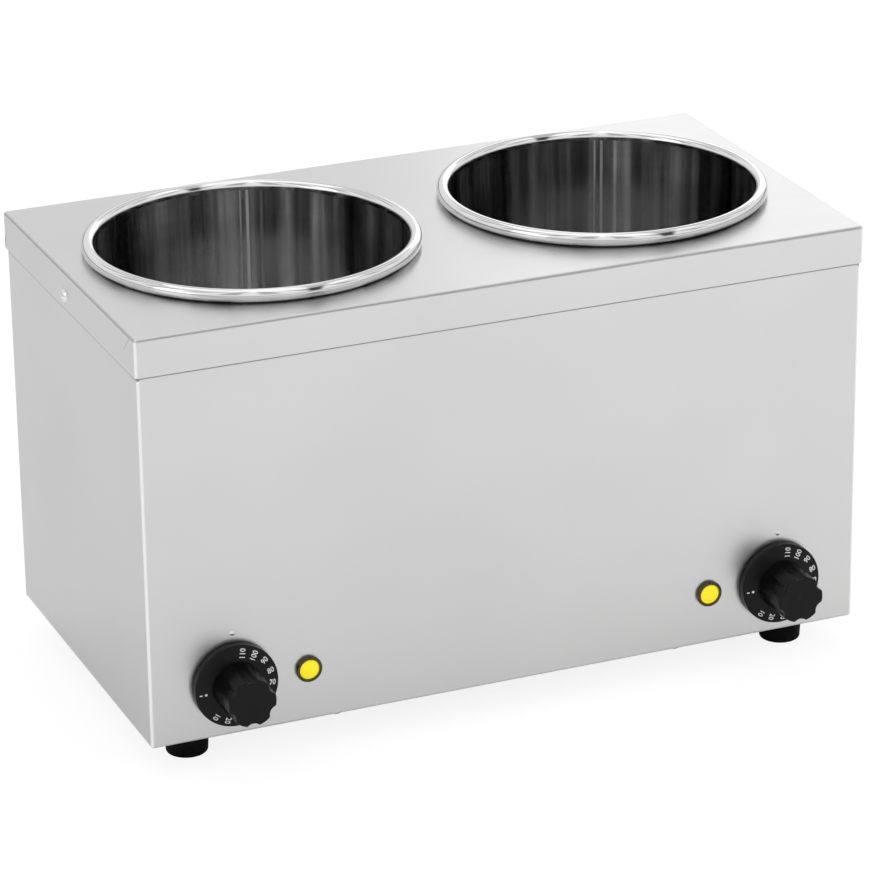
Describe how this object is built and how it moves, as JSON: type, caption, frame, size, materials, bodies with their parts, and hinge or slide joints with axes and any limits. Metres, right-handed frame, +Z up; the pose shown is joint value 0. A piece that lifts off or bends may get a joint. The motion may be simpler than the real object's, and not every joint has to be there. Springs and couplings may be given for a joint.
{
  "type": "bain marie",
  "caption": "Countertop bain marie with lift-out round pots side by side in a folded steel casing, with front dials, pilot lamps and rubber feet.",
  "frame": {"origin": "on the table, under the middle of the whole object", "axes": "+X to the right along the front, +Y to the back, +Z up; the dials are on the -Y side"},
  "size_m": [0.4448, 0.2776, 0.2719],
  "materials": {
    "satin_steel": "satin brushed stainless sheet",
    "well_steel": "drawn stainless, mill finish",
    "polished_steel": "mirror-polished stainless",
    "dial_plastic": "black moulded, white figures",
    "bezel_chrome": "bright plated ring",
    "lamp_lens": "amber-yellow moulded lens",
    "black_plastic": "black nylon",
    "foot_rubber": "black rubber",
    "heater_sheath": "oxidised heater sheath",
    "thermostat_plastic": "dark moulded thermostat case",
    "capillary_copper": "bare copper",
    "block_plastic": "white nylon",
    "wire_insulation": "heat-resistant sleeve",
    "earth_insulation": "green-yellow sleeve",
    "rivet_steel": "bright domed head",
    "plated_steel": "zinc-plated steel"
  },
  "bodies": {
    "casing": {"top_plate": "satin_steel", "casing_shell": "satin_steel", "rear_panel": "satin_steel", "base_plate": "satin_steel", "left_well": "well_steel", "right_well": "well_steel", "left_well_floor": "well_steel", "right_well_floor": "well_steel", "well_studs": "well_steel", "left_heater": "heater_sheath", "right_heater": "heater_sheath", "left_heater_clamp": "well_steel", "right_heater_clamp": "well_steel", "heater_nuts": "plated_steel", "left_thermostat": "thermostat_plastic", "right_thermostat": "thermostat_plastic", "left_capillary": "capillary_copper", "right_capillary": "capillary_copper", "bulb_clips": "well_steel", "thermostat_screws": "plated_steel", "left_lamp_bezel": "bezel_chrome", "right_lamp_bezel": "bezel_chrome", "left_lamp_lens": "lamp_lens", "right_lamp_lens": "lamp_lens", "left_lamp_body": "black_plastic", "right_lamp_body": "black_plastic", "lamp_nuts": "black_plastic", "flange_rivets": "rivet_steel", "base_screws": "plated_steel", "rear_screws": "plated_steel", "front_left_foot": "foot_rubber", "front_right_foot": "foot_rubber", "rear_left_foot": "foot_rubber", "rear_right_foot": "foot_rubber", "foot_washers": "plated_steel", "foot_bolts": "plated_steel", "foot_nuts": "plated_steel", "cable_gland": "black_plastic", "gland_nut": "black_plastic", "terminal_block": "block_plastic", "terminal_screws": "plated_steel", "block_screws": "plated_steel", "earth_stud": "plated_steel", "earth_nut": "plated_steel", "live_wires": "wire_insulation", "heater_wires": "wire_insulation", "lamp_wires": "wire_insulation", "earth_wire": "earth_insulation"},
    "left_pot": {"left_pot": "polished_steel"},
    "right_pot": {"right_pot": "polished_steel"},
    "left_dial": {"left_dial": "dial_plastic", "left_spindle": "plated_steel", "left_dial_clip": "plated_steel"},
    "right_dial": {"right_dial": "dial_plastic", "right_spindle": "plated_steel", "right_dial_clip": "plated_steel"}
  },
  "joints": [
    {"name": "left_pot_lift", "type": "slide", "parent": "casing", "child": "left_pot", "axis": [0, 0, 1], "range_m": [0, 0.175]},
    {"name": "right_pot_lift", "type": "slide", "parent": "casing", "child": "right_pot", "axis": [0, 0, 1], "range_m": [0, 0.175]},
    {"name": "left_dial_turn", "type": "hinge", "parent": "casing", "child": "left_dial", "pos_m": [-0.1692, -0.1078, 0.052], "axis": [0, -1, 0], "range_deg": [0, 265]},
    {"name": "right_dial_turn", "type": "hinge", "parent": "casing", "child": "right_dial", "pos_m": [0.1692, -0.1078, 0.052], "axis": [0, -1, 0], "range_deg": [0, 265]}
  ]
}
